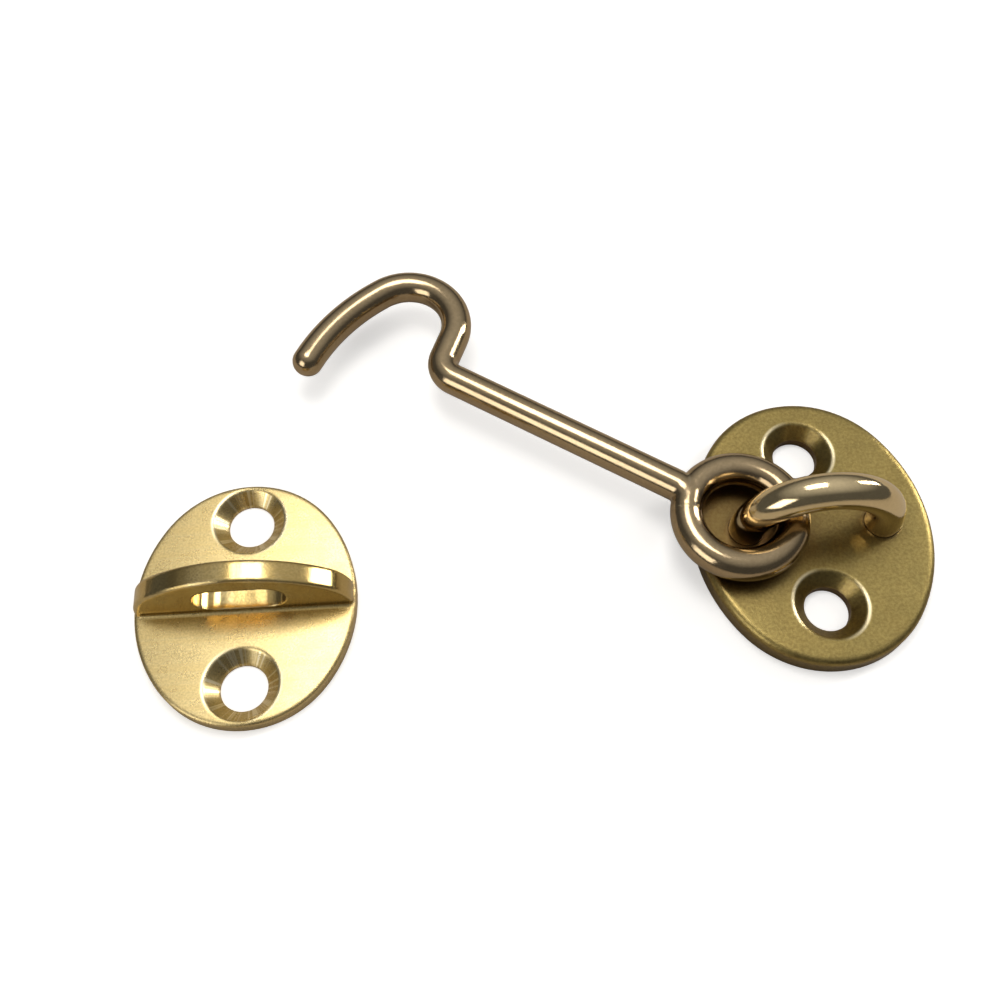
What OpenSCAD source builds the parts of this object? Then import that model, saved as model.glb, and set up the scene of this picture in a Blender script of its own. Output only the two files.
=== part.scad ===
// Hook and eye latch in brass: a bent-wire hook hung on a riveted staple, and a one-piece eye plate.
// Millimetres. The back of both plates lies on z = 0, the hook plate is centred on the origin,
// x runs along the staple and y along the screw line. The eye plate stands on the -x side.

/* [Hook plate] */
// Width across the screw line
hook_plate_width = 23.6; // [22:0.2:26]
// Length along the screw line
hook_plate_length = 28.6; // [28:0.2:34]
// Thickness
hook_plate_thickness = 2.2; // [2:0.1:3]
// Radius of the rounded upper rim
hook_plate_round = 0.7; // [0.3:0.1:1.1]
// Distance between the two screw holes
hook_plate_spacing = 16.6; // [15:0.1:17]

/* [Eye plate] */
// Width along the lug
eye_plate_width = 21.2; // [21:0.1:24]
// Length along the screw line
eye_plate_length = 24.8; // [24.8:0.2:30]
// Thickness
eye_plate_thickness = 1.6; // [1.4:0.1:1.7]
// Radius of the eased upper rim
eye_plate_round = 0.3; // [0.15:0.05:0.35]
// Distance between the two screw holes
eye_plate_spacing = 16.8; // [15:0.1:16.9]
// How far the eye plate sits below the hook plate's centre line
eye_plate_drop = 4; // [2:0.25:6]

/* [Screw holes] */
// Bore for the screw shank
screw_hole = 4.5; // [3.9:0.1:5]
// Countersink at the face
countersink = 7.1; // [6.2:0.1:7.1]
// Eased edge of the countersink
sink_round = 0.3; // [0.1:0.05:0.4]

/* [Lug] */
// Width at the plate
lug_width = 20.8; // [18:0.2:20.8]
// Height above the plate
lug_height = 7; // [6.6:0.1:8.4]
// Thickness
lug_thickness = 2.2; // [1.8:0.1:3]
// Eased edge along the crest
lug_round = 0.3; // [0.1:0.05:0.5]
// Root fillet between lug and plate
lug_fillet = 0.4; // [0.2:0.05:0.45]
// Width of the eye
eye_width = 8.8; // [8:0.1:10]
// Height of the eye
eye_height = 4.3; // [4.1:0.1:4.6]

/* [Staple] */
// Wire of the staple
staple_wire = 3.5; // [3:0.1:3.8]
// Centre distance of the two legs
staple_span = 13.6; // [13:0.2:15]
// Straight leg above the plate
staple_leg = 0.6; // [0.4:0.1:3]
// Riveted head at the back of the plate
rivet_head = 4.6; // [4.2:0.1:5.4]
// Gap between leg and plate hole
staple_fit = 0.03; // [0.01:0.01:0.1]

/* [Hook] */
// Wire of the hook
hook_wire = 3.2; // [2.8:0.1:3.3]
// Centre-line radius of the ring
ring_radius = 5.2; // [5:0.1:6]
// Centre-line radius of the reverse bend that leads the rod into the ring
neck_radius = 2; // [1.8:0.1:3]
// Straight link between that bend and the ring
neck_length = 0.4; // [0.2:0.1:1]
// Straight rod between neck and heel
rod_length = 25.4; // [20:0.2:34]
// Centre-line radius of the heel, the bend after the rod
heel_radius = 2.2; // [1.8:0.1:3]
// Turn of the heel in degrees
heel_turn = 80; // [70:1:90]
// Straight length between heel and crown
shank_length = 2.6; // [1.5:0.1:4]
// Centre-line radius of the crown
crown_radius = 5.2; // [4.8:0.1:6]
// Turn of the crown in degrees
crown_turn = 145; // [138:1:150]
// Straight link between crown and tail
crown_length = 0.4; // [0.2:0.1:1]
// Centre-line radius of the tail
tail_radius = 21; // [17:0.5:30]
// Turn of the tail in degrees
tail_turn = 29; // [20:1:36]
// Gap between ring and hook plate
ring_gap = 0.45; // [0.35:0.05:0.6]
// Gap between ring and staple leg on the pulled side
pull_gap = 0.8; // [0.7:0.05:1]
// Angle of the rod from the +x axis as the latch lies open
open_angle = 147; // [140:1:160]

/* [Hidden] */
$fn = 96;
// Reach past a face for a cut
cut = 1;
// Slope of the countersink from the face
sink_slope = 45;
// How far the countersink's eased edge stands proud of the face
sink_proud = 0.005;
// Place of the ring's butt end, from the rod's axis: it presses against the neck
butt_angle = 11;
// Straight end of the wire before the half-round tip
tip_length = 0.5;
// Where two runs of one piece join, how much smaller one is than the other, and how far it reaches into it
lap_ease = 0.01;
lap_reach = 0.05;
// Depth to which the lug is rooted in its plate
lug_root = eye_plate_thickness / 2;
// Height of the riveted head, a 45 degree cone
rivet_height = (rivet_head - staple_wire) / 2;

// The hook lies level, just above its plate
hook_z = hook_plate_thickness + ring_gap + hook_wire / 2;
// Staple leg that the hook hangs on
leg_x = -staple_span / 2;
// Ring centre from the leg's axis when the hook is pulled tight
ring_offset = ring_radius - hook_wire / 2 - staple_wire / 2 - pull_gap;
// Turn of the neck that brings the ring's centre onto the rod's axis, and the rod's start from that centre
neck_pull = norm([ring_radius + neck_radius, neck_length]);
neck_turn = acos(neck_radius / neck_pull) - atan2(neck_length, ring_radius + neck_radius);
rod_start = (ring_radius + neck_radius) * sin(neck_turn) + neck_length * cos(neck_turn);
// The ring's wire turns until its end butts against the neck
ring_turn = 180 + neck_turn + 90 - butt_angle;

// Farthest run of the tail from the ring's centre, along the rod
crown_to = heel_turn + 90 - crown_turn;
crown_x = rod_start + rod_length + (heel_radius + crown_radius) * sin(heel_turn) + shank_length * cos(heel_turn);
tail_x = crown_x + crown_radius * cos(crown_to) + crown_length * sin(crown_to)
    + tail_radius * (1 - cos(crown_to));
// The eye's centre stands a little further from the leg than the tail does, so that the tail clears it
eye_margin = 1.3;
eye_x = leg_x - sqrt(pow(ring_offset + tail_x + eye_margin, 2) - pow(eye_plate_drop, 2));

// Half section of a disc whose lower and upper rims are rounded by their own radii
module rim_profile(radius, thick, low, high) {
    difference() {
        square([radius, thick]);
        for (rim = [[0, low, 0], [thick, high, 1]])
            if (rim[1] > 0)
                translate([radius, rim[0]])
                    mirror([0, rim[2]])
                        rim_corner(rim[1]);
    }
}

// What a rounded rim leaves out of a square corner
module rim_corner(round) {
    translate([-round, 0])
        difference() {
            square([round + cut, round]);
            translate([0, round])
                circle(r = round);
        }
}

// Oval disc of four tangent arcs, its short axis on x and its long axis on y
module oval_disc(width, length, thick, low, high) {
    // The arcs' centres stand on 3-4-5 triangles of this unit. Each arc is cut from its disc by a wedge that
    // reaches past every rim. The end arcs lap into the side arcs, and these lap across the long axis
    unit = (length - width) / 4;
    reach = width;
    for (turn = [0, 180])
        rotate(turn) {
            translate([-4 * unit, 0, 0])
                intersection() {
                    rotate_extrude()
                        rim_profile(width / 2 + 4 * unit, thick, low, high);
                    linear_extrude(thick)
                        polygon([
                            [4 * unit - lap_reach, -3 * unit],
                            [4 * unit, -3 * unit],
                            [4 * reach, -3 * reach],
                            [4 * reach, 3 * reach],
                            [4 * unit, 3 * unit],
                            [4 * unit - lap_reach, 3 * unit],
                        ]);
                }
            translate([0, 3 * unit, 0])
                intersection() {
                    rotate_extrude()
                        rim_profile(length / 2 - 3 * unit - lap_ease, thick, low, high);
                    translate([0, -lap_reach, 0])
                        linear_extrude(thick)
                            polygon([[0, 0], [4 * reach, 3 * reach], [-4 * reach, 3 * reach]]);
                }
        }
}

// Countersunk screw hole through a plate that lies on z = 0
module screw_cut(thick) {
    translate([0, 0, thick])
        rotate_extrude()
            sink_profile(thick + cut);
}

// Half section of a screw hole below a face at y = 0: bore, countersink and its eased edge
module sink_profile(depth) {
    edge = countersink / 2;
    bore = screw_hole / 2;
    // Reach of the eased edge along the face, and as far down the cone
    reach = sink_round * tan(sink_slope / 2);
    difference() {
        polygon([
            [0, -depth],
            [bore, -depth],
            [bore, (bore - edge) * tan(sink_slope)],
            [edge - reach * cos(sink_slope), -reach * sin(sink_slope)],
            [edge + reach, 0],
            [edge + reach, cut],
            [0, cut],
        ]);
        // It stands a hair proud of the face, so that it is cut by it and does not only touch it
        translate([edge + reach, sink_proud - sink_round])
            circle(r = sink_round);
    }
}

// The two screw holes of a plate, along y
module screw_cuts(spacing, thick) {
    for (side = [-1, 1])
        translate([0, side * spacing / 2, 0])
            screw_cut(thick);
}

// Hole for a staple leg, opened at the back for the riveted head
module leg_cut() {
    translate([0, 0, -cut]) {
        cylinder(h = hook_plate_thickness + 2 * cut, d = staple_wire + 2 * staple_fit);
        cylinder(
            h = rivet_height + cut,
            d1 = rivet_head + 2 * (staple_fit + cut),
            d2 = staple_wire + 2 * staple_fit
        );
    }
}

module hook_plate() {
    color("goldenrod")
        difference() {
            oval_disc(hook_plate_width, hook_plate_length, hook_plate_thickness, 0, hook_plate_round);
            screw_cuts(hook_plate_spacing, hook_plate_thickness);
            for (side = [-1, 1])
                translate([side * staple_span / 2, 0, 0])
                    leg_cut();
        }
}

module staple() {
    arch_z = hook_plate_thickness + staple_leg;
    color("gold") {
        for (side = [-1, 1])
            translate([side * staple_span / 2, 0, 0]) {
                cylinder(h = arch_z, d = staple_wire);
                cylinder(h = rivet_height, d1 = rivet_head, d2 = staple_wire);
            }
        translate([0, 0, arch_z])
            rotate([90, 0, 0])
                rotate_extrude(angle = 180)
                    translate([staple_span / 2, 0])
                        circle(d = staple_wire);
    }
}

// Straight run of the hook's wire along +x; the children carry on from its end.
// It is a hair thinner than the bends and reaches into them, so that each joint is one clean cut
module wire_run(length) {
    translate([-lap_reach, 0, 0])
        rotate([0, 90, 0])
            cylinder(h = length + 2 * lap_reach, d = hook_wire - lap_ease);
    translate([length, 0, 0])
        children();
}

// Arc of the hook's wire that starts along +x and bends to the left
module wire_arc(radius, turn) {
    translate([0, radius, 0])
        rotate(-90)
            rotate_extrude(angle = turn)
                translate([radius, 0])
                    circle(d = hook_wire);
}

// Bend of the hook's wire, to the left or, with side = -1, to the right; the children carry on from its end
module wire_bend(radius, turn, side = 1) {
    flip = side < 0 ? 180 : 0;
    rotate([flip, 0, 0]) {
        wire_arc(radius, turn);
        translate([0, radius, 0])
            rotate(turn)
                translate([0, -radius, 0])
                    rotate([flip, 0, 0])
                        children();
    }
}

// Half-round end of the hook's wire
module wire_tip() {
    rotate([0, 90, 0])
        rotate_extrude()
            intersection() {
                circle(d = hook_wire);
                square(hook_wire);
            }
}

// Bent from one wire: from the start of the rod back round the ring, and out to the tip of the tail
module hook() {
    color("darkgoldenrod")
        translate([leg_x, 0, hook_z])
            rotate(open_angle)
                // The crown stands on the rod's right, and the tail comes back across the rod's line
                rotate([180, 0, 0])
                    translate([ring_offset + rod_start, 0, 0]) {
                        wire_run(rod_length)
                            wire_bend(heel_radius, heel_turn)
                                wire_run(shank_length)
                                    wire_bend(crown_radius, crown_turn, -1)
                                        wire_run(crown_length)
                                            wire_bend(tail_radius, tail_turn, -1)
                                                wire_run(tip_length)
                                                    wire_tip();
                        rotate(180)
                            wire_bend(neck_radius, neck_turn)
                                wire_run(neck_length)
                                    rotate([180, 0, 0])
                                        wire_arc(ring_radius, ring_turn);
                    }
}

// Standing lug: the upper half of an oval disc, rooted in the plate
module lug() {
    intersection() {
        translate([0, lug_thickness / 2, eye_plate_thickness])
            rotate([90, 0, 0])
                // Turns the oval's long axis along x
                rotate(90)
                    oval_disc(2 * lug_height, lug_width, lug_thickness, lug_round, lug_round);
        translate([-lug_width, -lug_thickness, eye_plate_thickness - lug_root])
            cube([2 * lug_width, 2 * lug_thickness, lug_height + 2 * lug_root]);
    }
}

// Concave fillets along both sides of the lug's root
module lug_fillets() {
    length = lug_width - 2 * lug_fillet;
    for (side = [0, 1])
        mirror([0, side, 0])
            translate([0, lug_thickness / 2, eye_plate_thickness])
                difference() {
                    translate([-length / 2, -lug_round, -lug_root])
                        cube([length, lug_fillet + lug_round, lug_fillet + lug_root]);
                    translate([0, lug_fillet, lug_fillet])
                        rotate([0, 90, 0])
                            cylinder(h = length + 2 * cut, r = lug_fillet, center = true);
                }
}

// Elongated eye, level with the hook
module eye_cut() {
    flat = eye_width - eye_height;
    translate([0, 0, hook_z]) {
        for (side = [-1, 1])
            translate([side * flat / 2, 0, 0])
                rotate([90, 0, 0])
                    cylinder(h = lug_thickness + 2 * cut, d = eye_height, center = true);
        cube([flat, lug_thickness + 2 * cut, eye_height], center = true);
    }
}

module eye_plate() {
    color("khaki")
        translate([eye_x, -eye_plate_drop, 0])
            difference() {
                union() {
                    oval_disc(eye_plate_width, eye_plate_length, eye_plate_thickness, 0, eye_plate_round);
                    lug();
                    lug_fillets();
                }
                screw_cuts(eye_plate_spacing, eye_plate_thickness);
                eye_cut();
            }
}

hook_plate();
staple();
hook();
eye_plate();
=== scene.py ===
"""Looks of a brass hook and eye latch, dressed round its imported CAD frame. Metres."""

import math

import bpy
from mathutils import Matrix, Vector


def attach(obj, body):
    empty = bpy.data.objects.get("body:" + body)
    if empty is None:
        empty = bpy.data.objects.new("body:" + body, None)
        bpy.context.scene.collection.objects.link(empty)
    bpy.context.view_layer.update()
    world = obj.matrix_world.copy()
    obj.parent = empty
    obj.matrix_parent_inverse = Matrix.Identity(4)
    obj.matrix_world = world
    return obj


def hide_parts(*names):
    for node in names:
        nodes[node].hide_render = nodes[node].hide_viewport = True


MM = 0.001

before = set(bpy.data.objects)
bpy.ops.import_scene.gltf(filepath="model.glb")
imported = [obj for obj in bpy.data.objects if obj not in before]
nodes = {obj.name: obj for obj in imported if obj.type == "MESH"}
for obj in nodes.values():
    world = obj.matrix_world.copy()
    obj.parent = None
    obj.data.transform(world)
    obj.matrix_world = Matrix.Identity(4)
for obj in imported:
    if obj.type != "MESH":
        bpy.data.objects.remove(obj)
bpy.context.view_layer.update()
scene = bpy.context.scene
scene.view_settings.view_transform = "Standard"


# Camera at the photograph's viewing angle

CAMERA_PLACE = Vector((-34.0, -43.05, 95.68)) * MM
CAMERA_TILT = 0.4752
CAMERA_ROLL = -0.0571
CAMERA_PAN = -0.0304
CAMERA_LENS = 37.77

camera = bpy.data.objects.new("camera", bpy.data.cameras.new("camera"))
camera.location = CAMERA_PLACE
turns = ((CAMERA_TILT, "X"), (CAMERA_ROLL, "Z"), (CAMERA_PAN, "Y"))
tilt, roll, pan = [Matrix.Rotation(angle, 3, axis) for angle, axis in turns]
camera.rotation_euler = (tilt @ roll @ pan).to_euler()
camera.data.lens = CAMERA_LENS
camera.data.clip_start = 1 * MM
scene.collection.objects.link(camera)
scene.camera = camera


# Studio light

LAMPS = {
    # name: place, aim, width and height in mm, and radiance
    "key_box": ((-46, 88, 285), (-50, 10, 0), (130, 130), 4.8),
    "left_box": ((-226, -158, 140), (-30, 10, 0), (160, 150), 2.6),
    "right_box": ((240, 130, 140), (0, 0, 0), (60, 150), 12.0),
}
LAMP_COLOUR = (1.0, 0.97, 0.93)


def add_lamp(name, place, aim, size, radiance):
    """An area lamp whose face has the given radiance."""
    data = bpy.data.lights.new(name, "AREA")
    data.shape = "RECTANGLE"
    data.size = size[0] * MM
    data.size_y = size[1] * MM
    data.energy = radiance * math.pi * data.size * data.size_y
    data.color = LAMP_COLOUR
    lamp = bpy.data.objects.new(name, data)
    lamp.location = Vector(place) * MM
    heading = Vector(aim) * MM - lamp.location
    lamp.rotation_euler = heading.to_track_quat("-Z", "Y").to_euler()
    scene.collection.objects.link(lamp)


for lamp_name, settings in LAMPS.items():
    add_lamp(lamp_name, *settings)


# Node helpers


class Graph:
    """A thin wrapper that adds and links the nodes of one node tree."""

    def __init__(self, tree):
        self.tree = tree
        self.tree.nodes.clear()

    def add(self, kind, inputs=None, **settings):
        node = self.tree.nodes.new(kind)
        for key, value in settings.items():
            setattr(node, key, value)
        for key, value in (inputs or {}).items():
            self.put(node.inputs[key], value)
        return node

    def put(self, socket, value):
        if isinstance(value, bpy.types.NodeSocket):
            self.tree.links.new(value, socket)
        else:
            socket.default_value = value

    def math(self, operation, a, b=0.0, clamp=False):
        node = self.add("ShaderNodeMath", {0: a, 1: b}, operation=operation, use_clamp=clamp)
        return node.outputs[0]

    def vector(self, operation, a, b=(0, 0, 0)):
        node = self.add("ShaderNodeVectorMath", {0: a, 1: b}, operation=operation)
        return node.outputs["Value" if operation in ("DOT_PRODUCT", "LENGTH") else "Vector"]

    def span(self, value, low, high, to_low=0.0, to_high=1.0):
        """Maps low..high to to_low..to_high, clamped."""
        inputs = {"Value": value, 1: low, 2: high, 3: to_low, 4: to_high}
        return self.add("ShaderNodeMapRange", inputs, clamp=True).outputs[0]

    def mix(self, share, a, b):
        node = self.add("ShaderNodeMix", {0: share, 6: a, 7: b}, data_type="RGBA")
        return node.outputs[2]

    def noise(self, vector, scale, detail=2.0, rough=0.5):
        inputs = {"Vector": vector, "Scale": scale, "Detail": detail, "Roughness": rough}
        return self.add("ShaderNodeTexNoise", inputs).outputs[0]

    def stretch(self, vector, scale, turn=0.0):
        inputs = {"Vector": vector, "Rotation": (0, 0, turn), "Scale": scale}
        return self.add("ShaderNodeMapping", inputs, vector_type="TEXTURE").outputs[0]

    def millimetres(self):
        """Place on the piece in millimetres; it moves with the piece."""
        place = self.add("ShaderNodeTexCoord").outputs["Object"]
        return self.add("ShaderNodeVectorMath", {0: place, 3: 1 / MM}, operation="SCALE").outputs[0]

    def openness(self, reach, low, high, local=True):
        """0 in a hollow, 1 on an open face, by what is within reach in mm. local leaves out other pieces."""
        inputs = {"Distance": reach * MM}
        hollow = self.add("ShaderNodeAmbientOcclusion", inputs, only_local=local, samples=8)
        return self.span(hollow.outputs["AO"], low, high)


def rgba(red, green, blue):
    return (red, green, blue, 1.0)


def new_material(name):
    material = bpy.data.materials.new(name)
    material.use_nodes = True
    return material, Graph(material.node_tree)


# World: a soft ceiling that is lightest overhead and darkens towards the horizon, and white to the camera

LIGHTEST = (0.10, 0.30, 0.95)
CEILING = 0.60
HORIZON = 0.10
# Cosines of the angle from LIGHTEST where the sky is down to HORIZON and where it is up to CEILING
FADE = (0.45, 0.98)

world = bpy.data.worlds.new("studio")
world.use_nodes = True
scene.world = world
sky = Graph(world.node_tree)
height = sky.vector("DOT_PRODUCT", sky.add("ShaderNodeTexCoord").outputs["Generated"], LIGHTEST)
level = sky.span(height, *FADE, HORIZON, CEILING)
ceiling = sky.add("ShaderNodeBackground", {"Color": rgba(1.0, 0.98, 0.94), "Strength": level})
backdrop = sky.add("ShaderNodeBackground", {"Color": rgba(1.0, 1.0, 1.0), "Strength": 1.0})
seen = sky.add("ShaderNodeLightPath").outputs["Is Camera Ray"]
sky_shader = sky.add("ShaderNodeMixShader", {0: seen, 1: ceiling.outputs[0], 2: backdrop.outputs[0]})
sky.add("ShaderNodeOutputWorld", {"Surface": sky_shader.outputs[0]})


# Floor: white to the camera, and dimmer where the metal mirrors it

FLOOR_REACH = 2.0
FLOOR_GLOW = 0.45
MIRRORED_FLOOR = rgba(0.56, 0.50, 0.42)

bpy.ops.mesh.primitive_plane_add(size=2 * FLOOR_REACH)
floor = bpy.context.object
floor.name = "floor"
floor_material, g = new_material("white_floor")
cloud = g.noise(g.millimetres(), 0.02)
white = g.add(
    "ShaderNodeBsdfPrincipled",
    {
        "Base Color": g.mix(cloud, rgba(0.90, 0.90, 0.90), rgba(0.93, 0.93, 0.93)),
        "Roughness": 0.9,
        "Specular IOR Level": 0.0,
        "Emission Color": rgba(1.0, 1.0, 1.0),
        "Emission Strength": FLOOR_GLOW,
    },
)
dim = g.add("ShaderNodeBsdfDiffuse", {"Color": MIRRORED_FLOOR})
mirrored = g.add("ShaderNodeLightPath").outputs["Is Glossy Ray"]
floor_shader = g.add("ShaderNodeMixShader", {0: mirrored, 1: white.outputs[0], 2: dim.outputs[0]})
g.add("ShaderNodeOutputMaterial", {"Surface": floor_shader.outputs[0]})
floor.data.materials.append(floor_material)


# Hook: its wire swept along the centre line again, with the ring closed on the neck and no open butt end.
# Sizes in mm, angles in degrees; a bend is a radius and a turn.

WIRE = 3.2
LEG = Vector((-6.8, 0.0))
HOOK_Z = 4.25
OPEN_ANGLE = 147
RING_OFFSET = 1.05
RING_RADIUS = 5.2
NECK_RADIUS = 2.0
NECK_LENGTH = 0.4
ROD_LENGTH = 25.4
HEEL = (2.2, -80)
SHANK_LENGTH = 2.6
CROWN = (5.2, 145)
CROWN_LENGTH = 0.4
TAIL = (21.0, 29)
TIP_LENGTH = 0.5
# Degrees to a facet of a bend, and sides of the wire
FACET = 3
SIDES = 48
# Shares of the wire's radius where the ring's end is tucked into the ring's start
TUCK = (0.9, 0.998)
# Degrees to a facet of the half-round tip
TIP_FACET = 9
# Radius from which a bend gets more facets
WIDE_BEND = 8


def along(heading):
    return Vector((math.cos(heading), math.sin(heading)))


def walk(place, heading, steps):
    """Places and headings along a wire. A step is a length, or a radius and a turn, positive to the left."""
    stations = [(place, heading)]
    for step in steps:
        if isinstance(step, tuple):
            radius, turn = step
            count = max(2, math.ceil(abs(turn) / FACET * max(1.0, radius / WIDE_BEND)))
            part = math.radians(turn / count)
            chord = 2 * radius * math.sin(abs(part) / 2)
            for _ in range(count):
                place = place + chord * along(heading + part / 2)
                heading += part
                stations.append((place, heading))
        else:
            place = place + step * along(heading)
            stations.append((place, heading))
    return stations


def hook_stations():
    """The wire's stations from the ring's closed end to the tail, with the wire's radius at each."""
    radius = WIRE / 2
    reach = RING_RADIUS + NECK_RADIUS
    neck_turn = math.acos(NECK_RADIUS / math.hypot(reach, NECK_LENGTH)) - math.atan2(NECK_LENGTH, reach)
    rod_start = reach * math.sin(neck_turn) + NECK_LENGTH * math.cos(neck_turn)
    outward = math.radians(OPEN_ANGLE)
    start = LEG + (RING_OFFSET + rod_start) * along(outward)
    neck = (NECK_RADIUS, -math.degrees(neck_turn))
    ring = (RING_RADIUS, 360)
    tucked = (RING_RADIUS, len(TUCK) * FACET)
    back = walk(start, outward + math.pi, [neck, NECK_LENGTH, ring, tucked])
    out = walk(start, outward, [ROD_LENGTH, HEEL, SHANK_LENGTH, CROWN, CROWN_LENGTH, TAIL, TIP_LENGTH])
    line = [(place, heading - math.pi, radius) for place, heading in reversed(back)]
    for index, share in enumerate(TUCK):
        place, heading, _ = line[index]
        line[index] = (place, heading, share * radius)
    line += [(place, heading, radius) for place, heading in out[1:]]
    tip, heading, _ = line[-1]
    for degrees in range(TIP_FACET, 90, TIP_FACET):
        angle = math.radians(degrees)
        line.append((tip + radius * math.sin(angle) * along(heading), heading, radius * math.cos(angle)))
    return line


def sweep(name, stations):
    """A round wire through the stations, closed at both ends."""
    points = []
    faces = []
    for row, (place, heading, radius) in enumerate(stations):
        left = Vector((-math.sin(heading), math.cos(heading)))
        for side in range(SIDES):
            angle = 2 * math.pi * side / SIDES
            flat = place + radius * math.cos(angle) * left
            points.append(Vector((flat.x, flat.y, HOOK_Z + radius * math.sin(angle))) * MM)
            if row:
                here = row * SIDES + side
                beside = row * SIDES + (side + 1) % SIDES
                faces.append((here, beside, beside - SIDES, here - SIDES))
    faces.append(tuple(range(SIDES)))
    faces.append(tuple(reversed(range(len(points) - SIDES, len(points)))))
    mesh = bpy.data.meshes.new(name)
    mesh.from_pydata(points, [], faces)
    mesh.update()
    mesh.shade_smooth()
    for cap in list(mesh.polygons)[-2:]:
        cap.use_smooth = False
    wire = bpy.data.objects.new(name, mesh)
    scene.collection.objects.link(wire)
    return wire


hook = sweep("bent_hook", hook_stations())
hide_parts("hook")
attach(hook, "hook")


# Brass

# Dark brown of real tarnish in the pits, and of painted shade where other pieces are close
TARNISH_AND_SHADE = rgba(0.10, 0.055, 0.02)
# Pale brass of rubbed edges and tool marks, and of painted highlights on edges and countersink rims
BRIGHT = rgba(0.95, 0.84, 0.56)
# Radii in mm of the countersink's cone and of its rim
SINK_CONE = 3.45
SINK_RIM = 3.62
# Centres in mm of the countersinks
HOOK_PLATE_SINKS = ((0.0, 8.3), (0.0, -8.3))
EYE_PLATE_SINKS = ((-55.904, 4.4), (-55.904, -12.4))
# How far in mm a hollow and a neighbouring piece are felt, and the openness from shut to free
HOLLOW_REACH = 3.0
NEIGHBOUR_REACH = 7.0
OPEN_SPAN = (0.30, 0.92)
# Direction along which bright crescents are painted on the rims of the countersinks, as painted highlights
HIGHLIGHT_AXIS = (0.94, -0.34, 0.0)
# Depth of the waves that buffing leaves, as a multiple of the relief
WAVES = 16.0


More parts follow.
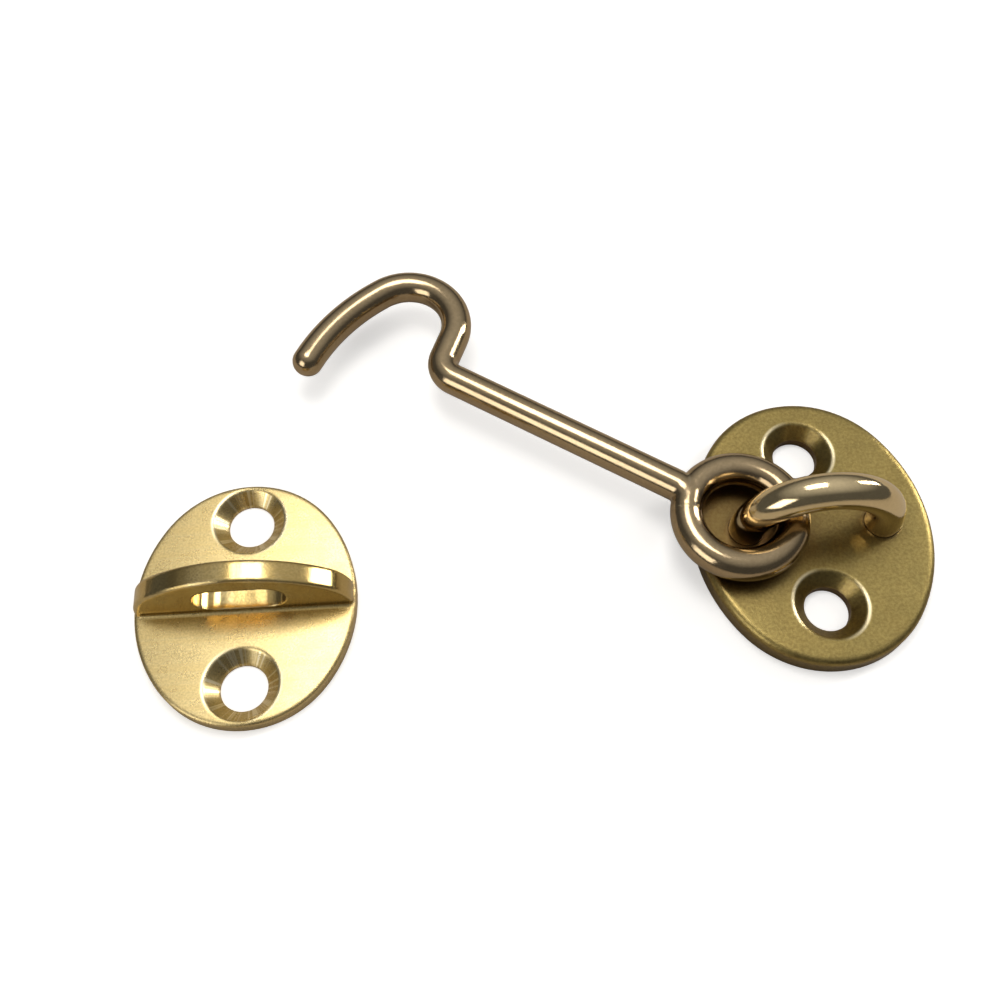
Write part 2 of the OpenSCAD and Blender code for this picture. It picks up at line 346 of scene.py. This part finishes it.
def brass(
    name,
    deep,
    mid,
    rough,
    grain,
    fine=3.2,
    relief=0.02,
    ease=0.35,
    shaded=0.4,
    lines=0.0,
    sinks=(),
    chatter=0.0,
    buffed=0.0,
):
    """Solid brass. Lengths are in mm.

    deep, mid: colours in hollows and on open faces; deep in hollows is painted shade
    rough: span of the roughness
    grain, fine: strength of the pitting, and pits to a mm
    relief: depth of the bumps
    ease: rounding of the edges
    shaded: how much painted shade other pieces lay on it where they are close
    lines: strength of the brushed lines along x
    sinks, chatter: centres of the countersinks, and strength of the tool marks in them
    buffed: height above which it is buffed smooth but wavy, with painted reflection darkening the troughs of
    the waves
    """
    material, g = new_material(name)
    place = g.millimetres()
    normal = g.add("ShaderNodeNewGeometry").outputs["Normal"]
    patches = g.span(g.noise(place, 0.16, 3.0, 0.6), 0.3, 0.7)
    pits = g.noise(place, fine, 3.0, 0.65)
    open_face = g.openness(HOLLOW_REACH, *OPEN_SPAN)
    clear = g.openness(NEIGHBOUR_REACH, *OPEN_SPAN, local=False)
    # Painted shade: the colour turns towards deep in hollows, where little is open within HOLLOW_REACH; the
    # patches vary the tone at random
    colour = g.mix(g.math("MULTIPLY", open_face, g.span(patches, 0, 1, 0.84, 1.0)), deep, mid)
    colour = g.mix(g.span(pits, 0.38, 0.62, 0.36 * grain, 0.0), colour, TARNISH_AND_SHADE)
    height = g.math("MULTIPLY", pits, grain)
    if lines:
        strokes = g.noise(g.stretch(place, (30.0, 0.30, 1.0)), 1.0, 3.0, 0.6)
        height = g.math("ADD", height, g.math("MULTIPLY", strokes, lines))
        colour = g.mix(g.span(strokes, 0.35, 0.65, 0.5 * lines, 0.0), colour, deep)
    rounded = g.add("ShaderNodeBevel", {"Radius": ease * MM}, samples=6).outputs[0]
    softened = g.mix(clear, normal, rounded)
    # Edges are painted brighter and glossier: partly rubbed wear, partly a painted highlight along the rims
    edge = g.span(g.vector("DOT_PRODUCT", rounded, normal), 0.88, 0.98, 1.0, 0.0)
    edge = g.math("MULTIPLY", edge, g.math("MULTIPLY", open_face, clear))
    edge = g.math("MULTIPLY", edge, g.span(g.noise(place, 0.9), 0.35, 0.65, 0.3, 0.8))
    colour = g.mix(edge, colour, BRIGHT)
    gloss = g.span(g.noise(place, 0.6, 3.0), 0.3, 0.7, rough[0], rough[1])
    if buffed:
        raised = g.span(g.add("ShaderNodeSeparateXYZ", {0: place}).outputs[2], buffed, buffed + 0.3)
        waves = g.noise(g.stretch(place, (1.0, 3.0, 3.0)), 0.45, 1.0)
        height = g.math("ADD", height, g.math("MULTIPLY", g.math("MULTIPLY", raised, waves), WAVES))
        # Painted reflection: the troughs of the waves are painted darker, like the dark patches the wavy
        # crest mirrors
        colour = g.mix(g.math("MULTIPLY", raised, g.span(waves, 0.45, 0.6, 0.45, 0.0)), colour, deep)
        gloss = g.math("MULTIPLY", gloss, g.span(raised, 0.0, 1.0, 1.0, 0.5))
    for centre in sinks:
        spoke = g.vector("MULTIPLY", g.vector("SUBTRACT", place, (*centre, 0.0)), (1, 1, 0))
        away = g.vector("LENGTH", spoke)
        ray = g.vector("NORMALIZE", spoke)
        marks = g.span(g.noise(ray, 7.0, 2.0, 0.6), 0.52, 0.60, 0.0, chatter)
        marks = g.math("MULTIPLY", g.math("LESS_THAN", away, SINK_CONE), marks)
        # Painted highlight: bright crescents on the eased rims of the countersinks, on the two sides that
        # face along the given axis
        rim = g.span(g.math("ABSOLUTE", g.math("SUBTRACT", away, SINK_RIM)), 0.06, 0.26, 0.8, 0.0)
        facing = g.math("ABSOLUTE", g.vector("DOT_PRODUCT", ray, HIGHLIGHT_AXIS))
        rim = g.math("MULTIPLY", rim, g.span(facing, 0.45, 0.9))
        colour = g.mix(g.math("MAXIMUM", marks, rim), colour, BRIGHT)
        height = g.math("ADD", height, g.math("MULTIPLY", marks, 0.5))
    # Painted shade: darker where other pieces are close, as far as shaded asks
    colour = g.mix(g.span(clear, 0.0, 1.0, shaded, 0.0), colour, TARNISH_AND_SHADE)
    bumps = {"Height": height, "Distance": relief * MM, "Strength": 1.0, "Normal": softened}
    bump = g.add("ShaderNodeBump", bumps)
    shader = g.add(
        "ShaderNodeBsdfPrincipled",
        {
            "Base Color": colour,
            "Metallic": 1.0,
            "Roughness": g.math("MULTIPLY", gloss, g.span(edge, 0.0, 1.0, 1.0, 0.5)),
            "Normal": bump.outputs[0],
            "Coat Weight": 0.12,
            "Coat Roughness": 0.12,
        },
    )
    g.add("ShaderNodeOutputMaterial", {"Surface": shader.outputs[0]})
    return material


def dress(piece, material):
    piece.data.materials.clear()
    piece.data.materials.append(material)
    for face in piece.data.polygons:
        face.material_index = 0


dress(
    nodes["hook_plate"],
    brass(
        "satin_brass",
        deep=rgba(0.42, 0.27, 0.07),
        mid=rgba(0.41, 0.32, 0.11),
        rough=(0.30, 0.38),
        grain=1.0,
        ease=0.6,
        shaded=0.95,
        sinks=HOOK_PLATE_SINKS,
    ),
)
dress(
    nodes["eye_plate"],
    brass(
        "drawn_brass",
        deep=rgba(0.62, 0.42, 0.12),
        mid=rgba(0.74, 0.595, 0.29),
        rough=(0.25, 0.31),
        grain=0.8,
        fine=5.0,
        relief=0.005,
        ease=0.45,
        shaded=0.0,
        lines=0.35,
        sinks=EYE_PLATE_SINKS,
        chatter=0.9,
        buffed=1.8,
    ),
)
dress(
    hook,
    brass(
        "hook_brass",
        deep=rgba(0.24, 0.15, 0.08),
        mid=rgba(0.49, 0.38, 0.23),
        rough=(0.10, 0.18),
        grain=0.3,
    ),
)
dress(
    nodes["staple"],
    brass(
        "staple_brass",
        deep=rgba(0.36, 0.24, 0.10),
        mid=rgba(0.86, 0.70, 0.42),
        rough=(0.07, 0.14),
        grain=0.2,
    ),
)
